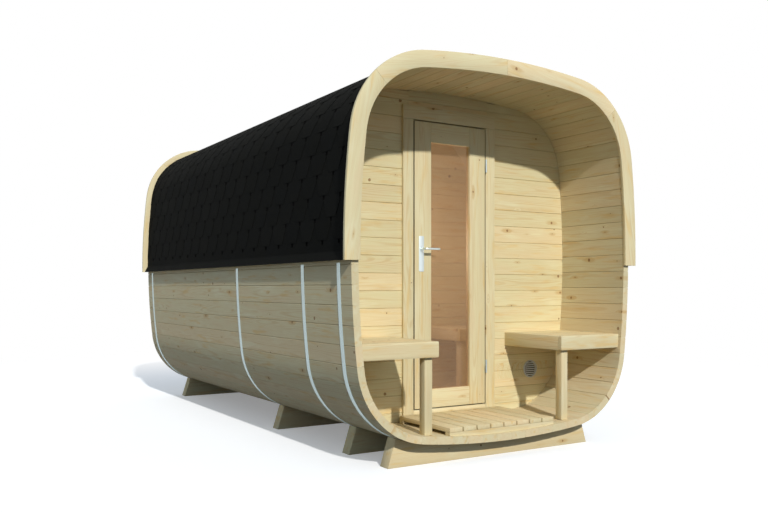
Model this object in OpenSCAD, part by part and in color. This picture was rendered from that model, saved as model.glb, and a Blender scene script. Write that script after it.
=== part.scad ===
// Cube sauna: a timber cabin of staves with a rounded square section, lying on cradles,
// with an open porch, a glazed door, hoop bands and a shingled cover over its upper half.
// Millimetres. +Z up, the porch faces -Y, origin on the ground under the middle.

/* [Stave shell] */
// Outer width of the shell
shell_w = 2190; // [1900:10:2600]
// Outer height of the shell
shell_h = 2300; // [2100:10:2700]
// Length of the shell, without the fascia boards
shell_len = 4000; // [3300:10:6000]
// Thickness of the staves
stave_t = 45; // [28:1:58]
// Outer radius of the four rounded corners
corner_r = 508; // [400:1:620]
// Angle by which each bowed side turns from its middle to its corner
bow_angle = 6.7; // [3:0.1:9]
// Height of the shell's underside above the ground
ground_gap = 105; // [70:1:200]

/* [Fascia and cover] */
// Width of the fascia boards
fascia_w = 100; // [70:1:130]
// Thickness of the fascia boards
fascia_t = 20; // [14:1:30]
// How far the fascia stands out past the shell
fascia_out = 52; // [30:1:55]
// Height of the fascia's and the cover's lower edge above the ground
eave_z = 1201; // [900:1:1400]
// Thickness of the shingle cover
cover_t = 8; // [4:1:14]
// How far the cover is pushed out along each eave
eave_flare = 29; // [10:1:44]
// Height of the flared strip of cover along each eave
eave_flare_h = 54; // [30:1:90]

/* [Hoops and cradles] */
// Width of a hoop band
band_w = 40; // [20:1:60]
// Thickness of a hoop band
band_t = 2; // [1:0.5:4]
// Distance from the eave down to a hoop band's upper end
band_drop = 12; // [5:1:60]
// Thickness of a cradle, along the shell
cradle_t = 90; // [45:1:140]
// Width of a cradle on the ground
cradle_w = 1590; // [1200:10:1800]
// Slope of the cradle ends from upright
cradle_slope = 17.6; // [5:0.1:30]
// Distance from each end of the shell to the middle of the nearest cradle
cradle_inset = 146; // [90:1:300]

/* [Walls] */
// Thickness of the upright walls
wall_t = 45; // [28:1:60]
// Depth of the porch, from the shell's end to the porch wall
porch_depth = 590; // [450:5:900]
// Clear length of the first room
room_len = 1033; // [800:5:1600]
// Distance from the shell's rear end to the rear wall
rear_inset = 124; // [60:1:300]
// Radius of the vent opening in the porch wall
vent_r = 54; // [30:1:65]
// Sideways place of the vent
vent_x = 729; // [600:1:800]
// Height of the vent above the ground
vent_z = 460; // [420:1:520]

/* [Door] */
// Width of the door leaf
door_w = 590; // [500:5:660]
// Height of the door leaf
door_h = 1905; // [1600:5:1960]
// Thickness of the door leaf
door_t = 40; // [30:1:45]
// Height of the leaf's lower edge above the shell's floor
door_lift = 97; // [90:1:140]
// Width of the leaf's stiles
stile_w = 134; // [80:1:160]
// Height of the leaf's top rail
top_rail_h = 131; // [80:1:180]
// Height of the leaf's bottom rail
bottom_rail_h = 123; // [80:1:220]
// Thickness of the glass
glass_t = 8; // [5:1:12]
// Clearance around the leaf
door_gap = 8; // [6:0.5:12]
// Thickness of the door frame's jambs
jamb_t = 25; // [18:1:40]
// Width of the casing boards beside the door
casing_w = 80; // [60:1:110]
// Height of the casing board over the door
casing_head_h = 92; // [60:1:100]
// Thickness of the casing boards
casing_t = 20; // [12:1:25]
// Height of the lever's axis above the leaf's lower edge
lever_h = 1059; // [900:1:1200]
// Length of the lever
lever_len = 115; // [90:1:150]

/* [Benches and duckboard] */
// Height of the seats above the ground
seat_z = 732; // [600:1:800]
// Height of the bench aprons
apron_h = 93; // [70:1:140]
// Thickness of the bench boards
bench_board_t = 28; // [18:1:35]
// Distance from the middle of the aisle to the benches
aisle_half = 490; // [440:1:520]
// Setback of the porch benches from the shell's front end
bench_setback = 22; // [0:1:80]
// Depth of the bench in the first room
room_bench_depth = 550; // [400:5:700]
// Width of a bench leg
leg_w = 55; // [40:1:70]
// Width of the duckboard
duckboard_w = 830; // [700:5:860]
// Height of the duckboard's top above the shell's floor
duckboard_h = 65; // [50:1:76]
// Number of slats in the duckboard
slat_count = 8; // [5:1:10]
// Gap between the slats
slat_gap = 10; // [4:1:16]
// Thickness of the slats
slat_t = 28; // [18:1:32]

/* [Hidden] */

// Colours
spruce = [0.88, 0.83, 0.66];
shingle = [0.09, 0.09, 0.08];
steel = [0.72, 0.78, 0.78];
bronze_glass = [0.65, 0.47, 0.33, 0.6];

// Clearances: flat faces that meet, curved faces that lie on each other,
// butt joints between boards, a pin in its bore
seam = 0.2;
fit = 0.5;
butt_gap = 1;
pin_fit = 0.1;
// How far a cutting shape runs past the face that it cuts
past = 1;

// The section of the shell: four corner arcs joined by four slightly bowed sides
half_w = shell_w / 2;
half_h = shell_h / 2;
mid_z = ground_gap + half_h;
floor_z = ground_gap + stave_t;
bow_sin = sin(bow_angle);
bow_flat = 1 - cos(bow_angle);
bow_scale = bow_sin * bow_sin - bow_flat * bow_flat;
side_r = corner_r + ((half_h - corner_r) * bow_sin - (half_w - corner_r) * bow_flat) / bow_scale;
flat_r = corner_r + ((half_w - corner_r) * bow_sin - (half_h - corner_r) * bow_flat) / bow_scale;
corner_x = (flat_r - corner_r) * bow_sin;
corner_z = (side_r - corner_r) * bow_sin;

// Each arc of the section: middle x, middle z, outer radius, first angle, last angle
arc_right = [half_w - side_r, mid_z, side_r, -bow_angle, bow_angle];
arc_upper_right = [corner_x, mid_z + corner_z, corner_r, bow_angle, 90 - bow_angle];
arc_top = [0, mid_z + half_h - flat_r, flat_r, 90 - bow_angle, 90 + bow_angle];
arc_upper_left = [-corner_x, mid_z + corner_z, corner_r, 90 + bow_angle, 180 - bow_angle];
arc_left = [side_r - half_w, mid_z, side_r, 180 - bow_angle, 180 + bow_angle];
arc_lower_left = [-corner_x, mid_z - corner_z, corner_r, 180 + bow_angle, 270 - bow_angle];
arc_bottom = [0, mid_z - half_h + flat_r, flat_r, 270 - bow_angle, 270 + bow_angle];
arc_lower_right = [corner_x, mid_z - corner_z, corner_r, 270 + bow_angle, 360 - bow_angle];
section = [arc_right, arc_upper_right, arc_top, arc_upper_left,
           arc_left, arc_lower_left, arc_bottom, arc_lower_right];
arc_steps = 20;

// Angle on a side arc at a given height
function side_angle(z) = asin((z - mid_z) / side_r);
eave_angle = side_angle(eave_z);
// Points along one arc, moved outwards by out
function arc_points(arc, out) = [
    for (i = [0:arc_steps - 1])
        let (a = arc[3] + (arc[4] - arc[3]) * i / arc_steps)
        [arc[0] + (arc[2] + out) * cos(a), arc[1] + (arc[2] + out) * sin(a)]
];
// The whole section as one closed outline, moved outwards by out
function section_points(out) = [for (arc = section) each arc_points(arc, out)];
// Height of the section's lower side at a place x, moved outwards by out
function underside_z(x, out) =
    abs(x) < (flat_r + out) * bow_sin
        ? arc_bottom[1] - sqrt(pow(flat_r + out, 2) - x * x)
        : arc_lower_right[1] - sqrt(pow(corner_r + out, 2) - pow(abs(x) - corner_x, 2));

// Places along the shell
front_y = -shell_len / 2;
rear_y = shell_len / 2;
porch_wall_y = front_y + porch_depth;
inner_wall_y = porch_wall_y + wall_t + room_len;
rear_wall_y = rear_y - rear_inset - wall_t;
cradle_behind_face = 18;
cradle_ys = [front_y + cradle_inset, porch_wall_y + cradle_behind_face,
             inner_wall_y + cradle_behind_face, rear_y - cradle_inset];

// Door places: the closed leaf is flush with the casing
door_bottom = floor_z + door_lift;
door_top = door_bottom + door_h;
door_y = porch_wall_y - casing_t;
opening_half = door_w / 2 + door_gap;
opening_bottom = door_bottom - door_gap;
opening_top = door_top + door_gap;
stop_t = 18;
stop_lap = 14;
glass_lap = 12;
glass_half = door_w / 2 - stile_w;
glass_bottom = door_bottom + bottom_rail_h;
glass_top = door_top - top_rail_h;
sill_board_h = 48;

// Rough opening in the porch wall, and heights that reach past the whole section
rough_half = opening_half + jamb_t;
rough_bottom = opening_bottom - jamb_t;
rough_top = opening_top + jamb_t;
wall_bottom = 0;
wall_top = ground_gap + shell_h;

// Hinges: the pins stand in front of the gap between leaf and casing
hinge_x = door_w / 2 + door_gap / 2;
hinge_y = door_y - 10;
hinge_h = 90;
pin_h = 80;
hinge_from_end = 255;
knuckle_r = 6;
pin_r = 3;
hinge_plate_t = 2;
hinge_plate_w = 30;
hinge_zs = [door_bottom + hinge_from_end - hinge_h / 2, door_top - hinge_from_end - hinge_h / 2];

// Lever handle
lever_z = door_bottom + lever_h;
lever_backset = 54;
lever_x = lever_backset - door_w / 2;
plate_w = 40;
plate_h = 236;
plate_t = 3;
plate_top = 86;
lever_r = 8;
spindle_r = 9;
lever_reach = 52;
spindle_bore_r = 11;

// Vent grille: a rim with louvres across it
vent_rim_w = 9;
vent_rim_t = 5;
louvre_count = 7;
louvre_pitch = 14.2;
louvre_h = 9;
louvre_t = 3;

// Benches and duckboard
porch_bench_y = front_y + bench_setback;
room_bench_y = inner_wall_y - room_bench_depth;
seat_board_gap = 6;
seat_board_count = 5;
duckboard_setback = 15;
duckboard_end_gap = 2;
batten_w = 45;

// One stretch of a piece that follows an arc: the child is drawn as [outwards, along the shell]
module follow(arc, first, last) {
    translate([arc[0], 0, arc[1]]) rotate([90, 0, 0]) rotate([0, 0, first])
        rotate_extrude(angle = last - first, $fn = arc[2] > 1000 ? 720 : 144)
            mirror([0, 1]) translate([arc[2], 0]) children();
}

// Angle that a distance along an arc takes
function turn(arc, distance) = distance / arc[2] * 180 / PI;

module stave_panel(arc) {
    color(spruce) follow(arc, arc[3] + turn(arc, seam), arc[4] - turn(arc, seam))
        translate([-stave_t, front_y]) square([stave_t, shell_len]);
}
module floor_staves() { stave_panel(arc_bottom); }
module ceiling_staves() { stave_panel(arc_top); }
module left_wall_staves() { stave_panel(arc_left); }
module right_wall_staves() { stave_panel(arc_right); }
module upper_left_corner_staves() { stave_panel(arc_upper_left); }
module upper_right_corner_staves() { stave_panel(arc_upper_right); }
module lower_left_corner_staves() { stave_panel(arc_lower_left); }
module lower_right_corner_staves() { stave_panel(arc_lower_right); }

// Fascia: four curved boards at one end, with open butt joints at 45, 90 and 135 degrees
module fascia_section(y) {
    translate([fascia_out - fascia_w, y]) square([fascia_w, fascia_t]);
}
module fascia(y) {
    corner_cut = turn(arc_upper_right, butt_gap / 2);
    top_cut = turn(arc_top, butt_gap / 2);
    color(spruce) for (side = [0, 1]) mirror([side, 0, 0]) {
        follow(arc_right, eave_angle, bow_angle) fascia_section(y);
        follow(arc_upper_right, bow_angle, 45 - corner_cut) fascia_section(y);
        follow(arc_upper_right, 45 + corner_cut, 90 - bow_angle) fascia_section(y);
        follow(arc_top, 90 - bow_angle, 90 - top_cut) fascia_section(y);
    }
}
module front_fascia() { fascia(front_y - fascia_t - seam); }
module rear_fascia() { fascia(rear_y + seam); }

// Shingle cover: a thin skin on the staves, with a wedge along its pushed-out lower edges
module cover_panel(arc, first, last) {
    color(shingle) follow(arc, first + turn(arc, seam), last - turn(arc, seam))
        translate([fit, front_y]) square([cover_t - fit, shell_len]);
}
module cover_side() {
    edge_x = arc_right[0] + side_r * cos(eave_angle);
    flare_top = eave_z + eave_flare_h;
    top_x = arc_right[0] + side_r * cos(side_angle(flare_top));
    cover_panel(arc_right, side_angle(flare_top), bow_angle);
    color(shingle) translate([0, rear_y, 0]) rotate([90, 0, 0]) linear_extrude(shell_len)
        polygon([[edge_x + fit, eave_z], [edge_x + cover_t + eave_flare, eave_z],
                 [top_x + cover_t, flare_top], [top_x + fit, flare_top]]);
}
module roof_cover_left() { mirror([1, 0, 0]) cover_side(); }
module roof_cover_right() { cover_side(); }
module roof_cover_left_corner() { cover_panel(arc_upper_left, 90 + bow_angle, 180 - bow_angle); }
module roof_cover_right_corner() { cover_panel(arc_upper_right, bow_angle, 90 - bow_angle); }
module roof_cover_top() { cover_panel(arc_top, 90 - bow_angle, 90 + bow_angle); }

// Hoop bands: from eave to eave round the underside, one over each cradle
module band_section(y) {
    translate([0, y - band_w / 2]) square([band_t, band_w]);
}
module hoop_bands() {
    band_angle = side_angle(eave_z - band_drop);
    color(steel) for (y = cradle_ys) {
        for (side = [0, 1]) mirror([side, 0, 0]) {
            follow(arc_right, -bow_angle, band_angle) band_section(y);
            follow(arc_lower_right, 270 + bow_angle, 360 - bow_angle) band_section(y);
        }
        follow(arc_bottom, 270 - bow_angle, 270 + bow_angle) band_section(y);
    }
}

// Cradles: thick planks with raked ends, hollowed on top to the shell and its band
cradle_stock_h = 400;
module cradle(y) {
    out = band_t + fit;
    top_half = cradle_w / 2 - cradle_stock_h * tan(cradle_slope);
    flat_half = (flat_r + out) * bow_sin;
    color(spruce) translate([0, y + cradle_t / 2, 0]) rotate([90, 0, 0]) difference() {
        linear_extrude(cradle_t) polygon([[-cradle_w / 2, 0], [cradle_w / 2, 0],
                                          [top_half, cradle_stock_h], [-top_half, cradle_stock_h]]);
        intersection() {
            translate([arc_bottom[0], arc_bottom[1], -past])
                cylinder(r = flat_r + out, h = cradle_t + 2 * past, $fn = 720);
            translate([-flat_half, 0, -past]) cube([2 * flat_half, shell_h, cradle_t + 2 * past]);
        }
        for (arc = [arc_lower_left, arc_lower_right]) translate([arc[0], arc[1], -past])
            cylinder(r = corner_r + out, h = cradle_t + 2 * past, $fn = 144);
    }
}
module front_cradle() { cradle(cradle_ys[0]); }
module porch_wall_cradle() { cradle(cradle_ys[1]); }
module inner_wall_cradle() { cradle(cradle_ys[2]); }
module rear_cradle() { cradle(cradle_ys[3]); }

// A slab that fills the shell's inside between two x and two z, from y on for depth d
module inner_slab(x0, x1, z0, z1, y, d) {
    translate([0, y + d, 0]) rotate([90, 0, 0]) linear_extrude(d) intersection() {
        polygon(section_points(-stave_t - fit));
        translate([x0, z0]) square([x1 - x0, z1 - z0]);
    }
}
module porch_wall_left() {
    color(spruce) inner_slab(-half_w, -rough_half, wall_bottom, wall_top, porch_wall_y, wall_t);
}
module porch_wall_right() {
    color(spruce) difference() {
        inner_slab(rough_half, half_w, wall_bottom, wall_top, porch_wall_y, wall_t);
        translate([vent_x, porch_wall_y + wall_t + past, vent_z]) rotate([90, 0, 0])
            cylinder(r = vent_r, h = wall_t + 2 * past, $fn = 72);
    }
}
module porch_wall_head() {
    color(spruce) inner_slab(-rough_half, rough_half, rough_top, wall_top, porch_wall_y, wall_t);
}
module porch_wall_sill() {
    color(spruce) inner_slab(-rough_half, rough_half, wall_bottom, rough_bottom, porch_wall_y, wall_t);
}
module inner_wall_left() {
    color(spruce) inner_slab(-half_w, -opening_half, wall_bottom, wall_top, inner_wall_y, wall_t);
}
module inner_wall_right() {
    color(spruce) inner_slab(opening_half, half_w, wall_bottom, wall_top, inner_wall_y, wall_t);
}
module inner_wall_head() {
    color(spruce) inner_slab(-opening_half, opening_half, opening_top, wall_top, inner_wall_y, wall_t);
}
module rear_wall() {
    color(spruce) inner_slab(-half_w, half_w, wall_bottom, wall_top, rear_wall_y, wall_t);
}

// A rectangular bar given by its two corners
module bar(low, high) {
    translate(low) cube(high - low);
}
module door_frame() {
    frame_back = porch_wall_y + wall_t;
    color(spruce) {
        difference() {
            bar([-rough_half, porch_wall_y, rough_bottom], [rough_half, frame_back, rough_top]);
            bar([-opening_half, porch_wall_y - past, opening_bottom],
                [opening_half, frame_back - stop_t, opening_top]);
            bar([-opening_half + stop_lap, porch_wall_y, opening_bottom + stop_lap],
                [opening_half - stop_lap, frame_back + past, opening_top - stop_lap]);
        }
    }
}
module door_casing() {
    out = opening_half + casing_w;
    color(spruce) {
        for (side = [0, 1]) mirror([side, 0, 0])
            bar([opening_half, door_y, opening_bottom - sill_board_h],
                [out, porch_wall_y, opening_top]);
        bar([-out, door_y, opening_top + butt_gap], [out, porch_wall_y, opening_top + casing_head_h]);
        bar([-opening_half + butt_gap, door_y, opening_bottom - sill_board_h],
            [opening_half - butt_gap, porch_wall_y, opening_bottom]);
    }
}

// The leaf: two stiles, two rails, and the glass let into them
module glass_pane(lap) {
    bar([-glass_half - lap, door_y + (door_t - glass_t) / 2, glass_bottom - lap],
        [glass_half + lap, door_y + (door_t + glass_t) / 2, glass_top + lap]);
}
module door_stiles() {
    color(spruce) difference() {
        for (side = [0, 1]) mirror([side, 0, 0])
            bar([glass_half, door_y, door_bottom], [door_w / 2, door_y + door_t, door_top]);
        glass_pane(glass_lap);
        translate([lever_x, door_y - past, lever_z]) rotate([-90, 0, 0])
            cylinder(r = spindle_bore_r, h = door_t + 2 * past, $fn = 48);
    }
}
module door_rails() {
    color(spruce) difference() {
        for (z = [door_bottom, glass_top])
            bar([-glass_half, door_y, z],
                [glass_half, door_y + door_t, z == door_bottom ? glass_bottom : door_top]);
        glass_pane(glass_lap);
    }
}
module door_glass() {
    color(bronze_glass) glass_pane(glass_lap);
}

// One knuckle of a hinge with its flat plate in the gap, on the edge of the leaf or the casing
module hinge_half(side, z, h) {
    wood_x = hinge_x + side * door_gap / 2;
    plate_x = wood_x - side * hinge_plate_t;
    translate([hinge_x, hinge_y, z]) cylinder(r = knuckle_r, h = h, $fn = 48);
    bar([min(wood_x, plate_x), hinge_y, z], [max(wood_x, plate_x), hinge_y + hinge_plate_w, z + h]);
}
module door_hinge_leaves() {
    color(steel) for (z = hinge_zs) difference() {
        hinge_half(-1, z + hinge_h / 2 + butt_gap, hinge_h / 2 - butt_gap);
        translate([hinge_x, hinge_y, z]) cylinder(r = pin_r + pin_fit, h = pin_h + 4, $fn = 48);
    }
}
module frame_hinge_leaves() {
    color(steel) for (z = hinge_zs) {
        hinge_half(1, z, hinge_h / 2);
        translate([hinge_x, hinge_y, z]) cylinder(r = pin_r, h = pin_h, $fn = 48);
    }
}

// Handle: a plate on each face, and a lever on each side of one spindle
module handle_plates() {
    color(steel) for (y = [door_y - plate_t, door_y + door_t]) difference() {
        bar([lever_x - plate_w / 2, y, lever_z + plate_top - plate_h],
            [lever_x + plate_w / 2, y + plate_t, lever_z + plate_top]);
        translate([lever_x, y - past, lever_z]) rotate([-90, 0, 0])
            cylinder(r = spindle_bore_r, h = plate_t + 2 * past, $fn = 48);
    }
}
module door_lever() {
    color(steel) {
        translate([lever_x, door_y - lever_reach - lever_r, lever_z]) rotate([-90, 0, 0])
            cylinder(r = spindle_r, h = 2 * (lever_reach + lever_r) + door_t, $fn = 48);
        for (y = [door_y - lever_reach, door_y + door_t + lever_reach])
            translate([lever_x, y, lever_z]) rotate([0, 90, 0])
                cylinder(r = lever_r, h = lever_len, $fn = 48);
    }
}

// Vent: a round louvred grille over the opening in the porch wall
module vent_grille() {
    color(steel) translate([vent_x, porch_wall_y, vent_z]) rotate([90, 0, 0]) {
        difference() {
            cylinder(r = vent_r + vent_rim_w, h = vent_rim_t, $fn = 72);
            translate([0, 0, -past]) cylinder(r = vent_r, h = vent_rim_t + 2 * past, $fn = 72);
        }
        for (i = [0:louvre_count - 1]) intersection() {
            cylinder(r = vent_r + vent_rim_w / 2, h = vent_rim_t, $fn = 72);
            translate([-2 * vent_r, (i - (louvre_count - 1) / 2) * louvre_pitch - louvre_h / 2, 0])
                cube([4 * vent_r, louvre_h, louvre_t]);
        }
    }
}

// Benches: boards across, framed by an apron at the front and one at the aisle, on one leg
module bench_seat(y0, y1) {
    board_w = (y1 - y0 - bench_board_t - seat_board_gap * seat_board_count) / seat_board_count;
    color(spruce) for (i = [0:seat_board_count - 1])
        inner_slab(aisle_half + bench_board_t + butt_gap, half_w, seat_z - bench_board_t, seat_z,
                   y0 + bench_board_t + seat_board_gap + i * (board_w + seat_board_gap), board_w);
}
module bench_frame(y0, y1) {
    leg_in = aisle_half + bench_board_t;
    color(spruce) {
        inner_slab(aisle_half, half_w, seat_z - apron_h, seat_z, y0, bench_board_t);
        bar([aisle_half, y0, seat_z - apron_h], [leg_in, y1, seat_z]);
        inner_slab(leg_in, leg_in + leg_w, 0, seat_z - bench_board_t,
                   y0 + bench_board_t, leg_w);
        inner_slab(leg_in, half_w, seat_z - apron_h, seat_z - bench_board_t,
                   y1 - bench_board_t, bench_board_t);
    }
}
module left_bench_seat() { mirror([1, 0, 0]) bench_seat(porch_bench_y, porch_wall_y); }
module left_bench_frame() { mirror([1, 0, 0]) bench_frame(porch_bench_y, porch_wall_y); }
module right_bench_seat() { bench_seat(porch_bench_y, porch_wall_y); }
module right_bench_frame() { bench_frame(porch_bench_y, porch_wall_y); }
module room_bench_seat() { bench_seat(room_bench_y, inner_wall_y); }
module room_bench_frame() { bench_frame(room_bench_y, inner_wall_y); }

// Duckboard: slats along the porch on three battens shaped to the floor
module duckboard() {
    y0 = front_y + duckboard_setback;
    y1 = door_y - duckboard_end_gap;
    top = floor_z + duckboard_h;
    slat_w = (duckboard_w - slat_gap * (slat_count - 1)) / slat_count;
    color(spruce) {
        for (i = [0:slat_count - 1]) {
            x = -duckboard_w / 2 + i * (slat_w + slat_gap);
            bar([x, y0, top - slat_t], [x + slat_w, y1, top]);
        }
        for (y = [y0, (y0 + y1 - batten_w) / 2, y1 - batten_w])
            inner_slab(-duckboard_w / 2, duckboard_w / 2, 0, top - slat_t, y, batten_w);
    }
}

floor_staves();
ceiling_staves();
left_wall_staves();
right_wall_staves();
upper_left_corner_staves();
upper_right_corner_staves();
lower_left_corner_staves();
lower_right_corner_staves();
front_fascia();
rear_fascia();
roof_cover_left();
roof_cover_left_corner();
roof_cover_top();
roof_cover_right_corner();
roof_cover_right();
hoop_bands();
front_cradle();
porch_wall_cradle();
inner_wall_cradle();
rear_cradle();
porch_wall_left();
porch_wall_right();
porch_wall_head();
porch_wall_sill();
inner_wall_left();
inner_wall_right();
inner_wall_head();
rear_wall();
door_frame();
door_casing();
door_stiles();
door_rails();
door_glass();
door_hinge_leaves();
frame_hinge_leaves();
handle_plates();
door_lever();
vent_grille();
left_bench_seat();
left_bench_frame();
right_bench_seat();
right_bench_frame();
room_bench_seat();
room_bench_frame();
duckboard();
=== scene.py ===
"""Looks of a cube sauna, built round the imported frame. Metres, +Z up, the porch faces -Y."""

import math
import random

import bmesh
import bpy
import numpy as np
from mathutils import Matrix, Vector


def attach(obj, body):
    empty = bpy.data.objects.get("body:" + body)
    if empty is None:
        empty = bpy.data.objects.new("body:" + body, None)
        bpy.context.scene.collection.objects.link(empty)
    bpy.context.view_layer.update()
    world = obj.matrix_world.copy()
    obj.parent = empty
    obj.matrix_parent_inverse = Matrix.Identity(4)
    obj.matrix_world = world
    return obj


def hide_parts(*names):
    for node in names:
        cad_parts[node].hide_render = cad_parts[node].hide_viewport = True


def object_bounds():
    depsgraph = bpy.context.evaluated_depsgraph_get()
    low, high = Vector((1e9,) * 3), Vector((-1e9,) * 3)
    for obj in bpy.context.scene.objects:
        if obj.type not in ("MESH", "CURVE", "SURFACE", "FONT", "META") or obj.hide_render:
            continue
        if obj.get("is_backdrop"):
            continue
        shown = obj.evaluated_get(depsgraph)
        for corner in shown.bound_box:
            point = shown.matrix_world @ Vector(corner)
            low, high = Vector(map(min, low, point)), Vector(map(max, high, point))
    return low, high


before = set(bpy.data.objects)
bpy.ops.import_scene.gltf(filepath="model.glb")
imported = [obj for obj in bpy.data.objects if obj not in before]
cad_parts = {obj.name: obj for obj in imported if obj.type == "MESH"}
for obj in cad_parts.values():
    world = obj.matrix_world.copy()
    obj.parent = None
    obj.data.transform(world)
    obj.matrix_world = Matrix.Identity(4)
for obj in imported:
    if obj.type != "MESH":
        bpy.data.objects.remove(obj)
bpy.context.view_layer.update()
rng = random.Random(11)

# ---------------------------------------------------------------- the section of the shell
HALF_W, HALF_H, CORNER_R, BOW, GAP = 1.095, 1.150, 0.508, math.radians(6.7), 0.105
STAVE_T = 0.045
FRONT, REAR = -2.0, 2.0
MID_Z = GAP + HALF_H
bow_sin, bow_flat = math.sin(BOW), 1 - math.cos(BOW)
bow_scale = bow_sin**2 - bow_flat**2
SIDE_R = CORNER_R + ((HALF_H - CORNER_R) * bow_sin - (HALF_W - CORNER_R) * bow_flat) / bow_scale
FLAT_R = CORNER_R + ((HALF_W - CORNER_R) * bow_sin - (HALF_H - CORNER_R) * bow_flat) / bow_scale
CORNER_X, CORNER_Z = (FLAT_R - CORNER_R) * bow_sin, (SIDE_R - CORNER_R) * bow_sin
QUARTER = math.pi / 2
ARCS = (
    (HALF_W - SIDE_R, MID_Z, SIDE_R, -BOW, BOW),
    (CORNER_X, MID_Z + CORNER_Z, CORNER_R, BOW, QUARTER - BOW),
    (0, MID_Z + HALF_H - FLAT_R, FLAT_R, QUARTER - BOW, QUARTER + BOW),
    (-CORNER_X, MID_Z + CORNER_Z, CORNER_R, QUARTER + BOW, 2 * QUARTER - BOW),
    (SIDE_R - HALF_W, MID_Z, SIDE_R, 2 * QUARTER - BOW, 2 * QUARTER + BOW),
    (-CORNER_X, MID_Z - CORNER_Z, CORNER_R, 2 * QUARTER + BOW, 3 * QUARTER - BOW),
    (0, MID_Z - HALF_H + FLAT_R, FLAT_R, 3 * QUARTER - BOW, 3 * QUARTER + BOW),
    (CORNER_X, MID_Z - CORNER_Z, CORNER_R, 3 * QUARTER + BOW, 4 * QUARTER - BOW),
)
STARTS = [0.0]
for arc in ARCS:
    STARTS.append(STARTS[-1] + arc[2] * (arc[4] - arc[3]))
ROUND = STARTS[-1]


def arc_of(s):
    """Index of the arc at distance s along the section."""
    s %= ROUND
    return max(i for i in range(len(ARCS)) if STARTS[i] <= s + 1e-9)


def at(s, out=0.0):
    """(x, z) at distance s along the section's outer face, out metres outside it."""
    s %= ROUND
    i = arc_of(s)
    x, z, r, a0, _ = ARCS[i]
    a = a0 + (s - STARTS[i]) / r
    return x + (r + out) * math.cos(a), z + (r + out) * math.sin(a)


RIGHT_MID, TOP_MID, LEFT_MID = STARTS[1] / 2, (STARTS[2] + STARTS[3]) / 2, (STARTS[4] + STARTS[5]) / 2
BOTTOM_MID = (STARTS[6] + STARTS[7]) / 2
# Points inside the staves from the lowest to the highest, a little clear of them
INNER_STEPS, INNER_GAP = 800, 0.0005
INNER = np.array([at(BOTTOM_MID + ROUND / 2 * i / INNER_STEPS, -STAVE_T - INNER_GAP)
                  for i in range(INNER_STEPS + 1)])
# Seam between flat faces that meet, and how far a foot stays clear of curved staves
SEAM, FOOT_GAP = 0.0002, 0.0006


def inner_half(z):
    """Half of the clear width inside the staves at height z."""
    return float(np.interp(z, INNER[:, 1], INNER[:, 0]))


# ---------------------------------------------------------------- mesh building
def place(name, data):
    """A new object with this data, in the scene."""
    made = bpy.data.objects.new(name, data)
    bpy.context.scene.collection.objects.link(made)
    return made


def span(side, a, b):
    """Lowest and highest x of the stretch from a to b on one side of the middle."""
    return sorted((side * a, side * b))


class Solid:
    """Closed shapes of one piece, with the coordinates along, across and through each board."""

    def __init__(self):
        self.verts, self.faces, self.grain, self.tone = [], [], [], []

    def add(self, points, faces, grain, tone):
        base = len(self.verts)
        self.verts += [tuple(p) for p in points]
        self.faces += [[base + i for i in f] for f in faces]
        self.grain += grain
        self.tone += [tone] * len(points)

    def tube(self, rings, grain, tone, closed=False):
        points, faces = loft(rings, closed)
        self.add(points, faces, grain, tone)

    def make(self, name, material, slot, replaces=(), body="cabin", smooth=30):
        mesh = bpy.data.meshes.new(name)
        mesh.from_pydata(self.verts, [], self.faces)
        mesh.attributes.new("grain", "FLOAT_VECTOR", "POINT").data.foreach_set(
            "vector", np.array(self.grain, np.float32).ravel())
        mesh.attributes.new("tone", "FLOAT", "POINT").data.foreach_set(
            "value", np.array(self.tone, np.float32))
        bm = bmesh.new()
        bm.from_mesh(mesh)
        bmesh.ops.recalc_face_normals(bm, faces=bm.faces)
        bm.to_mesh(mesh)
        bm.free()
        mesh.shade_smooth()
        mesh.set_sharp_from_angle(angle=math.radians(smooth))
        mesh.materials.append(material)
        piece = place(name, mesh)
        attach(piece, body)
        if replaces:
            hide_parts(*replaces)
        return piece


def loft(rings, closed=False):
    """Points and faces of a tube through rings of points, capped unless it closes on itself."""
    n, count = len(rings[0]), len(rings)
    faces = []
    for i in range(count if closed else count - 1):
        a, b = i * n, (i + 1) % count * n
        faces += [[a + j, a + (j + 1) % n, b + (j + 1) % n, b + j] for j in range(n)]
    if not closed:
        faces += [list(range(n))[::-1], [(count - 1) * n + j for j in range(n)]]
    return [p for ring in rings for p in ring], faces


def cut():
    """Where in its log a board was cut: offsets along, across and through."""
    return (rng.uniform(0, 60), rng.uniform(-0.05, 0.05),
            rng.choice((-1, 1)) * rng.uniform(0.03, 0.11))


def rounded(half_a, half_b, r, steps):
    """Outline of a rectangle with rounded corners."""
    points = []
    for k, (sa, sb) in enumerate(((1, 1), (-1, 1), (-1, -1), (1, -1))):
        for i in range(steps + 1):
            a = (k + i / steps) * QUARTER
            points.append((sa * (half_a - r) + r * math.cos(a), sb * (half_b - r) + r * math.sin(a)))
    return points


EDGE_R, EDGE_STEPS = 0.0025, 2


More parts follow.
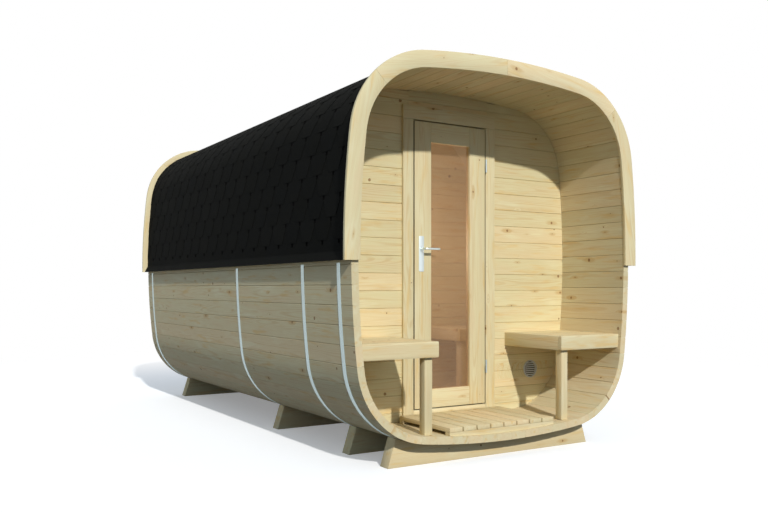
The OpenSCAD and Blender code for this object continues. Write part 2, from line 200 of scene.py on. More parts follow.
def bar(solid, low, high, axis, r=EDGE_R, tone=None):
    """A board between two corners with rounded edges, its grain along axis 0, 1 or 2."""
    low, high = Vector(low), Vector(high)
    mid, half = (low + high) / 2, (high - low) / 2
    across, through = [i for i in range(3) if i != axis]
    if half[across] < half[through]:
        across, through = through, across
    rings = []
    ends = [(r * (1 - math.cos(a)), r * (1 - math.sin(a)))
            for a in (i / EDGE_STEPS * QUARTER for i in range(EDGE_STEPS + 1))]
    for side in (-1, 1):
        for along, inset in (ends if side < 0 else ends[::-1]):
            ring = []
            for a, b in rounded(half[across] - inset, half[through] - inset,
                                max(r - inset, r * 0.12), EDGE_STEPS):
                p = mid.copy()
                p[axis] += side * (half[axis] - along)
                p[across] += a
                p[through] += b
                ring.append(p)
            rings.append(ring)
    c = cut()
    grain = [(p[axis] - mid[axis] + c[0], p[across] - mid[across] + c[1],
              p[through] - mid[through] + c[2]) for ring in rings for p in ring]
    solid.tube(rings, grain, rng.random() if tone is None else tone)


# ---------------------------------------------------------------- materials
class Graph:
    """A material's nodes, built by short calls."""

    def __init__(self, name):
        self.material = bpy.data.materials.new(name)
        self.material.use_nodes = True
        self.tree = self.material.node_tree
        self.surface = self.tree.nodes["Principled BSDF"]

    def node(self, kind, output=0, inputs=None, **settings):
        made = self.tree.nodes.new(kind)
        for key, value in settings.items():
            setattr(made, key, value)
        for key, value in (inputs or {}).items():
            self.put(made.inputs[key], value)
        return made.outputs[output]

    def put(self, socket, value):
        if isinstance(value, bpy.types.NodeSocket):
            self.tree.links.new(value, socket)
        else:
            socket.default_value = value

    def math(self, operation, a, b=0.0):
        return self.node("ShaderNodeMath", inputs={0: a, 1: b}, operation=operation)

    def vector(self, operation, a, b=(0, 0, 0)):
        return self.node("ShaderNodeVectorMath", inputs={0: a, 1: b}, operation=operation)

    def ramp(self, value, low, high, to_low=0.0, to_high=1.0, smooth=True):
        return self.node("ShaderNodeMapRange", inputs={0: value, 1: low, 2: high, 3: to_low, 4: to_high},
                         interpolation_type="SMOOTHSTEP" if smooth else "LINEAR")

    def mix(self, factor, a, b, blend="MIX"):
        return self.node("ShaderNodeMix", 2, {0: factor, 6: a, 7: b}, data_type="RGBA", blend_type=blend)

    def noise(self, vector, scale=1.0, detail=2.0):
        return self.node("ShaderNodeTexNoise", 0, {"Vector": vector, "Scale": scale, "Detail": detail})

    def length(self, vector):
        return self.node("ShaderNodeVectorMath", "Value", {0: vector}, operation="LENGTH")

    def attribute(self, name, output):
        return self.node("ShaderNodeAttribute", output, attribute_name=name)

    def bump(self, height, strength, distance):
        self.put(self.surface.inputs["Normal"], self.node(
            "ShaderNodeBump", inputs={"Strength": strength, "Distance": distance, "Height": height}))

    def set(self, **values):
        for key, value in values.items():
            self.put(self.surface.inputs[key.replace("_", " ")], value)


def wood(name, light, warm, rough=0.62, knots=0.3):
    """Planed spruce: growth rings round a pith, fibres, knots and a tone of its own for each board."""
    g = Graph(name)
    grain = g.attribute("grain", "Vector")
    tone = g.attribute("tone", "Fac")
    along, across, through = (g.node("ShaderNodeSeparateXYZ", i, {0: grain}) for i in range(3))
    # Knots: one possible knot in each cell along the face, large, small or missing by the cell's draw
    cell = (0.23, 0.085, 1.0)
    spots = g.tree.nodes.new("ShaderNodeTexVoronoi")
    spots.voronoi_dimensions = "2D"
    flat = g.node("ShaderNodeCombineXYZ", inputs={0: along, 1: across, 2: 0.0})
    g.put(spots.inputs["Vector"], g.vector("DIVIDE", flat, cell))
    spots.inputs["Scale"].default_value = 1.0
    apart = g.vector("SUBTRACT", flat, g.vector("MULTIPLY", spots.outputs["Position"], cell))
    warp = g.math("MULTIPLY", g.noise(g.vector("MULTIPLY", flat, (70, 70, 1))), 0.004)
    away = g.math("ADD", g.length(apart), warp)
    drawn = g.vector("MULTIPLY", apart, (0.30, 1.0, 1.0))
    stretched = g.math("ADD", g.length(drawn), warp)
    draw, second = (g.node("ShaderNodeSeparateColor", i, {0: spots.outputs["Color"]}) for i in (0, 1))
    size = g.ramp(draw, 1 - knots, 1.0, 0.0, 1.0, smooth=False)
    size = g.math("MULTIPLY", g.math("POWER", size, 1.7), 0.0115)
    knot = g.math("GREATER_THAN", size, 0.0005)
    core = g.math("MULTIPLY", knot, g.ramp(g.math("SUBTRACT", away, size), 0.0010, 0.0036, 1.0, 0.0))
    flow = g.math("MULTIPLY", knot, g.ramp(g.math("SUBTRACT", stretched, size), 0.0, 0.016, 1.0, 0.0))
    resin = g.math("MULTIPLY", flow, g.ramp(second, 0.35, 0.9))
    # Growth rings, pushed aside by the knots
    ring_pitch = 0.0056
    wave = g.noise(g.vector("MULTIPLY", grain, (0.9, 5.0, 5.0)), detail=2.0)
    radius = g.math("SQRT", g.math("ADD", g.math("MULTIPLY", across, across),
                                   g.math("MULTIPLY", through, through)))
    radius = g.math("ADD", radius, g.math("MULTIPLY", wave, 0.050))
    radius = g.math("ADD", radius, g.math("MULTIPLY", flow, 0.007))
    ring = g.math("SINE", g.math("MULTIPLY", radius, 2 * math.pi / ring_pitch))
    ring = g.ramp(ring, -0.2, 1.0)
    fibre = g.noise(g.vector("MULTIPLY", grain, (8.0, 420.0, 420.0)), detail=1.0)
    patch = g.noise(g.vector("MULTIPLY", grain, (2.4, 13.0, 13.0)), detail=3.0)
    elsewhere = g.vector("ADD", grain, (7.3, 2.1, 4.4))
    blush = g.noise(g.vector("MULTIPLY", elsewhere, (3.6, 26.0, 26.0)), detail=3.0)
    streak = g.noise(g.vector("MULTIPLY", grain, (1.8, 48.0, 48.0)), detail=2.0)
    pale = (*light, 1.0)
    rose = (*warm, 1.0)
    honey = tuple(c * k for c, k in zip(warm, (0.98, 0.86, 0.62))) + (1.0,)
    dark = tuple(c * k for c, k in zip(warm, (0.80, 0.66, 0.50))) + (1.0,)
    white = tuple(c * k for c, k in zip(light, (1.06, 1.09, 1.18))) + (1.0,)
    board = g.mix(g.ramp(tone, 0.40, 1.0, 0.0, 0.9), pale, rose)
    board = g.mix(g.ramp(patch, 0.45, 0.72, 0.0, 0.70), board, rose)
    board = g.mix(g.ramp(patch, 0.47, 0.30, 0.0, 0.75), board, white)
    board = g.mix(g.ramp(blush, 0.54, 0.76, 0.0, 0.80), board, honey)
    board = g.mix(g.math("MULTIPLY", ring, g.ramp(streak, 0.35, 0.68, 0.08, 0.42)), board, dark)
    board = g.mix(g.ramp(fibre, 0.38, 0.8, 0.0, 0.20), board, dark)
    board = g.mix(g.math("MULTIPLY", resin, 0.55), board, (0.52, 0.31, 0.10, 1))
    board = g.mix(g.math("MULTIPLY", core, 0.80), board, (0.235, 0.115, 0.040, 1))
    shade = g.ramp(tone, 0.0, 1.0, 0.92, 1.05, smooth=False)
    board = g.mix(1.0, board, g.node("ShaderNodeCombineXYZ", inputs={0: shade, 1: shade, 2: shade}),
                  "MULTIPLY")
    g.set(Base_Color=board, Roughness=g.ramp(fibre, 0.3, 0.7, rough - 0.05, rough + 0.08),
          Specular_IOR_Level=0.22)
    g.bump(g.math("ADD", g.math("MULTIPLY", ring, -0.35), fibre), 0.25, 0.0006)
    return g.material


def steel(name, colour, rough, metallic=1.0):
    """Satin steel with fine lines along the piece."""
    g = Graph(name)
    lines = g.noise(g.vector("MULTIPLY", g.attribute("grain", "Vector"), (3.0, 900.0, 900.0)), detail=2.0)
    cloud = g.noise(g.vector("MULTIPLY", g.attribute("grain", "Vector"), (4.0, 30.0, 30.0)), detail=3.0)
    base = g.mix(g.ramp(cloud, 0.3, 0.75, 0.0, 0.35), (*colour, 1), tuple(c * 0.8 for c in colour) + (1,))
    g.set(Base_Color=base, Metallic=metallic,
          Roughness=g.ramp(g.math("ADD", lines, g.math("MULTIPLY", cloud, 0.5)), 0.4, 1.1,
                           rough - 0.08, rough + 0.12))
    g.bump(lines, 0.12, 0.0002)
    return g.material


def shingle_material():
    """Bitumen shingle with mineral granules; the strip seen through each notch is painted near black as
    painted shade.
    """
    g = Graph("mineral_shingle")
    place = g.attribute("grain", "Vector")
    granule = g.noise(g.vector("MULTIPLY", place, (420.0, 420.0, 420.0)), detail=3.0)
    worn = g.noise(g.vector("MULTIPLY", place, (5.0, 5.0, 5.0)), detail=4.0)
    tone = g.attribute("tone", "Fac")
    low, high = (0.0040, 0.0042, 0.0036, 1), (0.0120, 0.0122, 0.0104, 1)
    base = g.mix(g.ramp(granule, 0.3, 0.75), low, high)
    base = g.mix(g.ramp(worn, 0.35, 0.75, 0.0, 0.5), base, (0.0068, 0.0076, 0.0080, 1))
    base = g.mix(g.ramp(tone, 0.55, 1.0, 0.0, 0.30), base, (0.0125, 0.0125, 0.0110, 1))
    # Painted shade: the strip of each course that shows through the notches of the course above is near
    # black, standing in for the shadow in the notch
    up = g.node("ShaderNodeSeparateXYZ", 1, {0: place})
    base = g.mix(g.ramp(up, 0.2335, 0.2350), base, (0.0004, 0.0004, 0.0004, 1))
    g.set(Base_Color=base, Roughness=g.ramp(granule, 0.3, 0.7, 0.82, 0.97), Specular_IOR_Level=0.03)
    g.bump(granule, 0.6, 0.0012)
    return g.material


def glass_material():
    """Bronze tinted pane with a thin satin film: it mirrors by its angle and passes tinted light."""
    g = Graph("bronze_glass")
    for n in list(g.tree.nodes):
        if n.type != "OUTPUT_MATERIAL":
            g.tree.nodes.remove(n)
    film_share, mirror_share = 0.15, 0.4
    smear = g.noise(g.node("ShaderNodeTexCoord", "Object"), scale=2.5, detail=3.0)
    tint = g.mix(g.ramp(smear, 0.3, 0.7), (0.86, 0.715, 0.635, 1), (0.90, 0.755, 0.675, 1))
    clear = g.node("ShaderNodeBsdfTransparent", inputs={"Color": tint})
    film = g.node("ShaderNodeBsdfDiffuse", inputs={
        "Color": g.mix(g.ramp(smear, 0.3, 0.7), (0.56, 0.40, 0.25, 1), (0.60, 0.43, 0.27, 1))})
    body = g.node("ShaderNodeMixShader", inputs={0: film_share, 1: clear, 2: film})
    gloss = g.node("ShaderNodeBsdfAnisotropic", inputs={"Color": (0.95, 0.95, 0.95, 1), "Roughness": 0.05})
    mirror = g.math("MULTIPLY", g.node("ShaderNodeFresnel", inputs={"IOR": 1.45}), mirror_share)
    shader = g.node("ShaderNodeMixShader", inputs={0: mirror, 1: body, 2: gloss})
    g.put(g.tree.nodes["Material Output"].inputs["Surface"], shader)
    return g.material


SHELL = wood("shell_wood", (0.67, 0.60, 0.375), (0.675, 0.555, 0.345), rough=0.66)
FASCIA = wood("fascia_wood", (0.715, 0.645, 0.395), (0.735, 0.61, 0.375), knots=0.22)
WALL = wood("wall_wood", (0.71, 0.63, 0.365), (0.72, 0.59, 0.345))
TRIM = wood("trim_wood", (0.72, 0.64, 0.39), (0.725, 0.605, 0.37), knots=0.22)
DOOR = wood("door_wood", (0.72, 0.64, 0.39), (0.725, 0.60, 0.365), knots=0.25)
BENCH = wood("bench_wood", (0.71, 0.625, 0.38), (0.705, 0.57, 0.34), knots=0.22)
DUCK = wood("duckboard_wood", (0.69, 0.60, 0.36), (0.68, 0.545, 0.325), knots=0.2)
BEAM = wood("cradle_wood", (0.70, 0.63, 0.385), (0.70, 0.57, 0.335), rough=0.7, knots=0.35)
BAND = steel("band_steel_satin", (0.44, 0.53, 0.53), 0.42)
HANDLE = steel("handle_steel_satin", (0.74, 0.82, 0.83), 0.36)
VENT = steel("vent_satin", (0.50, 0.52, 0.51), 0.5, metallic=0.25)
MESH = steel("vent_screen_dark", (0.020, 0.019, 0.018), 0.8)
HINGE = steel("hinge_steel_satin", (0.54, 0.62, 0.67), 0.40)
# Painted shade: near-black wood for the door leaf's edges, standing in for the shadow in the gap round the
# leaf
PAINTED_EDGE_SHADE = wood("door_edge_painted_shade", (0.115, 0.10, 0.060), (0.11, 0.085, 0.05), knots=0.0)
SHINGLE = shingle_material()

# ---------------------------------------------------------------- staves
STAVES = 69
STAVE_W = ROUND / STAVES
FIRST_JOINT = 5.013 - 44 * STAVE_W
GROOVE, GROOVE_DEEP, OPEN = 0.0032, 0.0030, 0.0005
# Depths between which the staves' middles touch each other
TOUCH, TOUCH_FULL = 0.012, 0.014
SHELL_NODES = ("right_wall_staves", "upper_right_corner_staves", "ceiling_staves",
               "upper_left_corner_staves", "left_wall_staves", "lower_left_corner_staves",
               "floor_staves", "lower_right_corner_staves")


def stave(solid, s0, s1):
    """One stave from s0 to s1, with a small V along both faces where it meets the next."""
    mid, part = (s0 + s1) / 2, (s1 - s0) / 8
    right = [(-GROOVE_DEEP, OPEN), (-TOUCH, OPEN), (-TOUCH_FULL, 0), (-STAVE_T + TOUCH_FULL, 0),
             (-STAVE_T + TOUCH, OPEN), (-STAVE_T + GROOVE_DEEP, OPEN)]
    profile = [(s0 + GROOVE, 0), (mid - part, 0), (mid + part, 0), (s1 - GROOVE, 0)]
    profile += [(s1 - gap, out) for out, gap in right]
    profile += [(s1 - GROOVE, -STAVE_T), (mid + part, -STAVE_T), (mid - part, -STAVE_T),
                (s0 + GROOVE, -STAVE_T)]
    profile += [(s0 + gap, out) for out, gap in right[::-1]]
    c = cut()
    rings, grain = [], []
    for y in (FRONT, REAR):
        ring = []
        for s, out in profile:
            x, z = at(s, out)
            ring.append((x, y, z))
            grain.append((y + c[0], s - mid + c[1], out + STAVE_T / 2 + c[2]))
        rings.append(ring)
    solid.tube(rings, grain, rng.random())


shell = [Solid() for _ in ARCS]
for k in range(STAVES):
    s0 = FIRST_JOINT + k * STAVE_W
    stave(shell[arc_of(s0 + STAVE_W / 2)], s0, s0 + STAVE_W)
for solid, node in zip(shell, SHELL_NODES):
    solid.make(node.replace("_staves", "_stave_boards"), SHELL, "shell_spruce", (node,))

# ---------------------------------------------------------------- fascia
EAVE_Z = 1.201
FASCIA_W, FASCIA_T, FASCIA_OUT = 0.100, 0.020, 0.052
FASCIA_GAP, FASCIA_EDGE, FASCIA_STEPS = 0.0006, 0.0016, 30
EAVE_DROP = SIDE_R * math.asin((MID_Z - EAVE_Z) / SIDE_R)
RIGHT_EAVE, LEFT_EAVE = RIGHT_MID - EAVE_DROP, LEFT_MID + EAVE_DROP
UPPER_RIGHT = STARTS[1] + CORNER_R * (QUARTER / 2 - BOW)
UPPER_LEFT = 2 * TOP_MID - UPPER_RIGHT
JOINTS = (RIGHT_EAVE, UPPER_RIGHT, TOP_MID, UPPER_LEFT, LEFT_EAVE)


def fascia(name, node, y):
    """Four curved boards at one end, each sawn from a straight plank, so its grain runs straight."""
    solid = Solid()
    for s0, s1 in zip(JOINTS, JOINTS[1:]):
        gap0 = 0 if s0 == RIGHT_EAVE else FASCIA_GAP
        gap1 = 0 if s1 == LEFT_EAVE else FASCIA_GAP
        a, b = Vector(at(s0)), Vector(at(s1))
        chord = (b - a).normalized()
        normal = Vector((chord.y, -chord.x))
        c = cut()
        mid_out, half_out = FASCIA_OUT - FASCIA_W / 2, FASCIA_W / 2
        rings, grain = [], []
        for i in range(FASCIA_STEPS + 1):
            s = s0 + gap0 + (s1 - gap1 - s0 - gap0) * i / FASCIA_STEPS
            ring = []
            for u, v in rounded(half_out, FASCIA_T / 2, FASCIA_EDGE, EDGE_STEPS):
                x, z = at(s, mid_out + u)
                p = Vector((x, z)) - a
                ring.append((x, y + v, z))
                grain.append((p.dot(chord) + c[0], p.dot(normal) + c[1], v + c[2]))
            rings.append(ring)
        solid.tube(rings, grain, rng.random())
    solid.make(name, FASCIA, "fascia_spruce", (node,))


fascia("front_fascia_boards", "front_fascia", FRONT - FASCIA_T / 2 - SEAM)
fascia("rear_fascia_boards", "rear_fascia", REAR + FASCIA_T / 2 + SEAM)

# ---------------------------------------------------------------- shingle cover
EXPOSURE, TAB_W, STRIP_H = 0.1305, 0.2045, 0.270
FLARE, FLARE_H = 0.029, 0.054
SKIN_T = 0.0022
FIRST_EDGE = 0.125
# A tab: half width of its tip, where its bevel ends, the gap beside it, and its notch's half width
# and heights
TAB_TIP, TAB_BEVEL, TAB_GAP = TAB_W * 0.27, 0.098, 0.001
NOTCH, NOTCH_MARKS = 0.013, (0.1045, 0.1048, 0.1285, 0.1288)
# How high a shingle lies over the staves at its lower edge and at its upper edge
LOW_EDGE, HIGH_EDGE = 0.0052, 0.0003
ROW_START, ROW_TABS, SLIVER = -1.666, 23, 0.02
COVER_END = 0.0005
TOP_UP = TOP_MID - RIGHT_EAVE
GRID = [0.0, 0.027, 0.054, 0.090] + [FIRST_EDGE + EXPOSURE / 4 * i for i in range(120)]


def skin(side, up, out):
    """Point on the cover at distance up from one eave, on straight stretches between grid lines."""
    k = max(i for i, g in enumerate(GRID) if g <= up + 1e-9)
    ends = []
    for g in (GRID[k], GRID[k + 1]):
        flare = FLARE * max(0.0, 1 - g / FLARE_H)
        s = RIGHT_EAVE + g if side > 0 else LEFT_EAVE - g
        ends.append(at(s, out + flare))
    t = (up - GRID[k]) / (GRID[k + 1] - GRID[k])
    return (ends[0][0] * (1 - t) + ends[1][0] * t, ends[0][1] * (1 - t) + ends[1][1] * t)


def tab(solid, side, edge, y_mid, y_lo, y_hi):
    """One tab of a course: a hexagonal end, half a notch on each side, and the covered strip above."""
    bottom = max(edge, 0.0)
    strip_top = min(edge + STRIP_H, TOP_UP)
    wide = TAB_W / 2
    beside = wide if edge < 0 else wide - TAB_GAP
    below, low_mark, high_mark, above = NOTCH_MARKS
    own = {-0.03: wide} if edge < 0 else {0.0: TAB_TIP, TAB_BEVEL: beside}
    own |= {below: beside, low_mark: wide - NOTCH, high_mark: wide - NOTCH, above: wide}
    marks = [bottom] + [g for g in GRID if bottom < g < strip_top]
    marks += [edge + m for m in own if bottom < edge + m < TOP_UP] + [strip_top]
    marks = sorted(set(round(m, 5) for m in marks))
    rings, grain = [], []
    for up in marks:
        v = up - edge
        half = float(np.interp(v, list(own), list(own.values())))
        low = float(np.interp(v, (0, STRIP_H), (LOW_EDGE, HIGH_EDGE)))
        lo, hi = max(y_mid - half, y_lo), min(y_mid + half, y_hi)
        ring = []
        for y, out in ((lo, low), (hi, low), (hi, low + SKIN_T), (lo, low + SKIN_T)):
            x, z = skin(side, up, out)
            ring.append((x, y, z))
            grain.append((y - y_mid + edge * 7.3 + y_mid * 3.1, v, out))
        rings.append(ring)
    solid.tube(rings, grain, rng.random())


shingles = {n: Solid() for n in ("roof_cover_right", "roof_cover_right_corner", "roof_cover_top",
                                 "roof_cover_left_corner", "roof_cover_left")}
ARC_COVER = {0: "roof_cover_right", 1: "roof_cover_right_corner", 2: "roof_cover_top",
             3: "roof_cover_left_corner", 4: "roof_cover_left"}
for side in (-1, 1):
    course = 0
    while True:
        edge = FIRST_EDGE + EXPOSURE * (course - 1)
        if edge > TOP_UP - 0.08:
            break
        s = RIGHT_EAVE + max(edge, 0) + SLIVER if side > 0 else LEFT_EAVE - max(edge, 0) - SLIVER
        solid = shingles[ARC_COVER[arc_of(s)]]
        shift = ROW_START + (0.5 * TAB_W if course % 2 else 0)
        first = math.floor((FRONT - shift) / TAB_W) - 1
        for k in range(first, first + ROW_TABS):
            y_mid = shift + (k + 0.5) * TAB_W
            y_lo, y_hi = FRONT + COVER_END, REAR - COVER_END
            if y_mid + TAB_W / 2 < y_lo + SLIVER or y_mid - TAB_W / 2 > y_hi - SLIVER:
                continue
            tab(solid, side, edge, y_mid, max(y_lo, y_mid - TAB_W / 2), min(y_hi, y_mid + TAB_W / 2))
        course += 1

# Ridge strips, lapped along the middle of the top
RIDGE_HALF, RIDGE_STEP, RIDGE_LONG, RIDGE_LOW, RIDGE_HIGH = 0.125, 0.20, 0.30, 0.0062, 0.0091
y = REAR - COVER_END
while y > FRONT + SLIVER:
    y1, y0 = y, max(FRONT + COVER_END, y - RIDGE_LONG)
    rings, grain = [], []
    for i in range(9):
        s = TOP_MID + RIDGE_HALF * (i / 4 - 1)
        ring = []
        for yy, low in ((y0, RIDGE_HIGH), (y1, RIDGE_LOW)):
            for t in ((0, SKIN_T) if yy == y0 else (SKIN_T, 0)):
                x, z = at(s, low + t)
                ring.append((x, yy, z))
                grain.append((s, 0.05 + (yy - y0) * 0.3, y))
        rings.append(ring)
    shingles["roof_cover_top"].tube(rings, grain, rng.random())
    y -= RIDGE_STEP
for node, solid in shingles.items():
    solid.make(node.replace("roof_cover", "shingles"), SHINGLE, "shingle", (node,), smooth=18)

# Underlay below the shingles, and the battens that push the lower edges out
underlay = Solid()
for side in (-1, 1):
    rings, grain = [], []
    for g in [g for g in GRID if g < TOP_UP] + [TOP_UP]:
        ring = []
        for y, out in ((FRONT + COVER_END, 0.0), (REAR - COVER_END, 0.0),
                       (REAR - COVER_END, 0.0003), (FRONT + COVER_END, 0.0003)):
            x, z = skin(side, max(g, COVER_END), out)
            ring.append((x, y, z))
            grain.append((y, 0.26, g))
        rings.append(ring)
    underlay.tube(rings, grain, 0.0)
underlay.make("roof_underlay", SHINGLE, "shingle")
battens = Solid()
for side in (-1, 1):
    outline = [(COVER_END, 0.001), (COVER_END, FLARE - 0.002),
               (FLARE_H - 0.004, 0.0014), (FLARE_H - 0.004, 0.0006)]
    c = cut()
    rings, grain = [], []
    for y in (FRONT + 0.002, REAR - 0.002):
        ring = []
        for up, out in outline:
            s = RIGHT_EAVE + up if side > 0 else LEFT_EAVE - up
            x, z = at(s, out)
            ring.append((x, y, z))
            grain.append((y + c[0], up + c[1], out + c[2]))
        rings.append(ring)
    battens.tube(rings, grain, rng.random())
battens.make("eave_battens", SHELL, "shell_spruce")

# ---------------------------------------------------------------- hoop bands
BAND_YS = (-1.854, -1.392, -0.314, 1.854)
BAND_W, BAND_T, BAND_DROP = 0.040, 0.002, 0.012
BAND_EDGE, BAND_LIFT, BAND_STEPS = 0.0009, 0.0001, 150
bands = Solid()
for y in BAND_YS:
    s0, s1 = LEFT_EAVE + BAND_DROP, ROUND + RIGHT_EAVE - BAND_DROP
    rings, grain = [], []
    for i in range(BAND_STEPS + 1):
        s = s0 + (s1 - s0) * i / BAND_STEPS
        ring = []
        for u, v in rounded(BAND_W / 2, BAND_T / 2, BAND_EDGE, EDGE_STEPS):
            x, z = at(s, BAND_T / 2 + v + BAND_LIFT)
            ring.append((x, y + u, z))
            grain.append((s + y, u, v))
        rings.append(ring)
    bands.tube(rings, grain, 0.5)
bands.make("hoop_straps", BAND, "band_steel", ("hoop_bands",))

# ---------------------------------------------------------------- cradles
CRADLE_T, CRADLE_HALF, CRADLE_SLOPE = 0.090, 0.795, math.tan(math.radians(17.6))
CRADLE_STEPS, CRADLE_EDGE = 44, 0.003


def under(x, out):
    """Height of the shell's underside at x, out metres outside it."""
    flat = (FLAT_R + out) * bow_sin
    if abs(x) < flat:
        return ARCS[6][1] - math.sqrt((FLAT_R + out) ** 2 - x * x)
    return ARCS[7][1] - math.sqrt((CORNER_R + out) ** 2 - (abs(x) - CORNER_X) ** 2)


def cradle(name, node, y):
    """A thick plank with raked ends, hollowed on top to the band."""
    out = BAND_T + FOOT_GAP
    # Where the raked end meets the shell, by repeated steps towards it
    tip = CRADLE_HALF - 0.05
    for _ in range(20):
        tip = CRADLE_HALF - CRADLE_SLOPE * under(tip, out)
    xs = [tip * (1 - 2 * i / CRADLE_STEPS) for i in range(CRADLE_STEPS + 1)]
    top = [(x, under(x, out)) for x in xs]
    outline = [(-CRADLE_HALF, 0.0), (CRADLE_HALF, 0.0)] + top
    bm = bmesh.new()
    front = [bm.verts.new((x, y - CRADLE_T / 2, z)) for x, z in outline]
    face = bm.faces.new(front)
    made = bmesh.ops.extrude_face_region(bm, geom=[face])
    bmesh.ops.translate(bm, vec=(0, CRADLE_T, 0), verts=[v for v in made["geom"]
                                                         if isinstance(v, bmesh.types.BMVert)])
    bmesh.ops.recalc_face_normals(bm, faces=bm.faces)
    sharp = [e for e in bm.edges if len(e.link_faces) == 2 and e.calc_face_angle() > 0.6]
    bmesh.ops.bevel(bm, geom=sharp, offset=CRADLE_EDGE, segments=2, affect="EDGES", profile=0.5)
    bm.verts.index_update()
    c = cut()
    points = [tuple(v.co) for v in bm.verts]
    faces = [[v.index for v in f.verts] for f in bm.faces]
    bm.free()
    solid = Solid()
    solid.add(points, faces, [(p[0] + c[0], p[2] - 0.1 + c[1], p[1] - y + c[2]) for p in points],
              rng.random())
    solid.make(name, BEAM, "cradle_spruce", (node,))


for node, y in zip(("front_cradle", "porch_wall_cradle", "inner_wall_cradle", "rear_cradle"), BAND_YS):
    cradle(node + "_plank", node, y)

# ---------------------------------------------------------------- boarded walls
ROW, ROW_Z = 0.11410, 0.2299
V_HIGH, V_DEEP, ROW_STEPS = 0.003, 0.004, 10
WALL_T = 0.045
PORCH_Y, INNER_Y, REAR_Y = -1.410, -0.332, 1.831
FLOOR_IN, TOP_IN = INNER[0][1] + 0.0006, INNER[-1][1] - 0.0006


def wall(name, node, x_lo, x_hi, z_lo, z_hi, y):
    """Horizontal boards with V joints, cut to the shell's inside and to the doorway."""
    solid = Solid()
    z_lo, z_hi = max(z_lo, FLOOR_IN), min(z_hi, TOP_IN)
    k = math.floor((z_lo - ROW_Z) / ROW)
    while ROW_Z + k * ROW < z_hi:
        joint0, joint1 = ROW_Z + k * ROW, ROW_Z + (k + 1) * ROW
        z0, z1 = max(joint0 + SEAM, z_lo), min(joint1 - SEAM, z_hi)
        k += 1
        if z1 - z0 < 0.004:
            continue
        levels = [z0] + [z0 + V_HIGH + (z1 - z0 - 2 * V_HIGH) * (1 - math.cos(math.pi * i / ROW_STEPS)) / 2
                         for i in range(ROW_STEPS + 1)] + [z1]
        c = cut()
        rings, grain = [], []
        for i, z in enumerate(levels):
            half = inner_half(z)
            lo, hi = max(x_lo, -half), min(x_hi, half)
            if hi - lo < 0.003:
                continue
            joint = (i == 0 and z0 > z_lo) or (i == len(levels) - 1 and z1 < z_hi)
            inset = V_DEEP if joint else 0.0
            ring = [(lo, y + inset, z), (hi, y + inset, z), (hi, y + WALL_T - inset, z),
                    (lo, y + WALL_T - inset, z)]
            rings.append(ring)
            grain += [(p[0] + c[0], z - (z0 + z1) / 2 + c[1], p[1] - y + c[2]) for p in ring]
        if len(rings) < 2:
            continue
        solid.tube(rings, grain, rng.random())
    return solid.make(name, WALL, "wall_spruce", (node,))


OPEN_HALF, ROUGH_HALF = 0.303, 0.328
OPEN_LO, OPEN_HI, ROUGH_LO, ROUGH_HI = 0.239, 2.160, 0.214, 2.185
# Limits past every side of the shell: the walls are cut to its inside
FAR, LOW, TALL = 2.0, 0, 3
wall("porch_wall_boards_left", "porch_wall_left", -FAR, -ROUGH_HALF, LOW, TALL, PORCH_Y)
vented = wall("porch_wall_boards_right", "porch_wall_right", ROUGH_HALF, FAR, LOW, TALL, PORCH_Y)
wall("porch_wall_boards_head", "porch_wall_head", -ROUGH_HALF, ROUGH_HALF, ROUGH_HI, TALL, PORCH_Y)
wall("porch_wall_boards_sill", "porch_wall_sill", -ROUGH_HALF, ROUGH_HALF, LOW, ROUGH_LO, PORCH_Y)
wall("inner_wall_boards_left", "inner_wall_left", -FAR, -OPEN_HALF, LOW, TALL, INNER_Y)
wall("inner_wall_boards_right", "inner_wall_right", OPEN_HALF, FAR, LOW, TALL, INNER_Y)
wall("inner_wall_boards_head", "inner_wall_head", -OPEN_HALF, OPEN_HALF, OPEN_HI, TALL, INNER_Y)
wall("rear_wall_boards", "rear_wall", -FAR, FAR, LOW, TALL, REAR_Y)

# The vent's opening through the boards
VENT_AT = Vector((0.729, PORCH_Y, 0.460))
VENT_R, RIM_W, RIM_T = 0.054, 0.009, 0.005
cutter = bpy.data.meshes.new("vent_cutter")
bm = bmesh.new()
bmesh.ops.create_cone(bm, cap_ends=True, segments=48, radius1=VENT_R, radius2=VENT_R, depth=0.2)
bmesh.ops.rotate(bm, verts=bm.verts, cent=(0, 0, 0), matrix=Matrix.Rotation(QUARTER, 3, "X"))
bmesh.ops.translate(bm, verts=bm.verts, vec=VENT_AT)
bm.to_mesh(cutter)
bm.free()
cutter_object = place("vent_cutter", cutter)
boolean = vented.modifiers.new("vent", "BOOLEAN")
boolean.operation, boolean.object, boolean.solver = "DIFFERENCE", cutter_object, "EXACT"
depsgraph = bpy.context.evaluated_depsgraph_get()
cut_mesh = bpy.data.meshes.new_from_object(vented.evaluated_get(depsgraph))
vented.modifiers.clear()
vented.data = cut_mesh
bpy.data.objects.remove(cutter_object)

# ---------------------------------------------------------------- door frame and casing
STOP_T, STOP_LAP, FACE_GAP, BACK_GAP = 0.018, 0.014, 0.0003, 0.0005
trim = Solid()
for side in (-1, 1):
    lo, hi = span(side, OPEN_HALF, ROUGH_HALF)
    bar(trim, (lo, PORCH_Y + FACE_GAP, ROUGH_LO), (hi, PORCH_Y + WALL_T, ROUGH_HI), 2, r=0.001)
    lo, hi = span(side, OPEN_HALF - STOP_LAP, OPEN_HALF - SEAM)
    bar(trim, (lo, PORCH_Y + WALL_T - STOP_T, OPEN_LO), (hi, PORCH_Y + WALL_T - BACK_GAP, OPEN_HI), 2,
        r=0.0015)
for z0, z1, stop in ((OPEN_HI, ROUGH_HI, OPEN_HI - STOP_LAP), (ROUGH_LO, OPEN_LO, OPEN_LO)):
    bar(trim, (-OPEN_HALF, PORCH_Y + FACE_GAP, z0), (OPEN_HALF, PORCH_Y + WALL_T, z1), 0, r=0.001)
    bar(trim, (-OPEN_HALF + STOP_LAP, PORCH_Y + WALL_T - STOP_T, stop),
        (OPEN_HALF - STOP_LAP, PORCH_Y + WALL_T - BACK_GAP, stop + STOP_LAP), 0, r=0.0015)
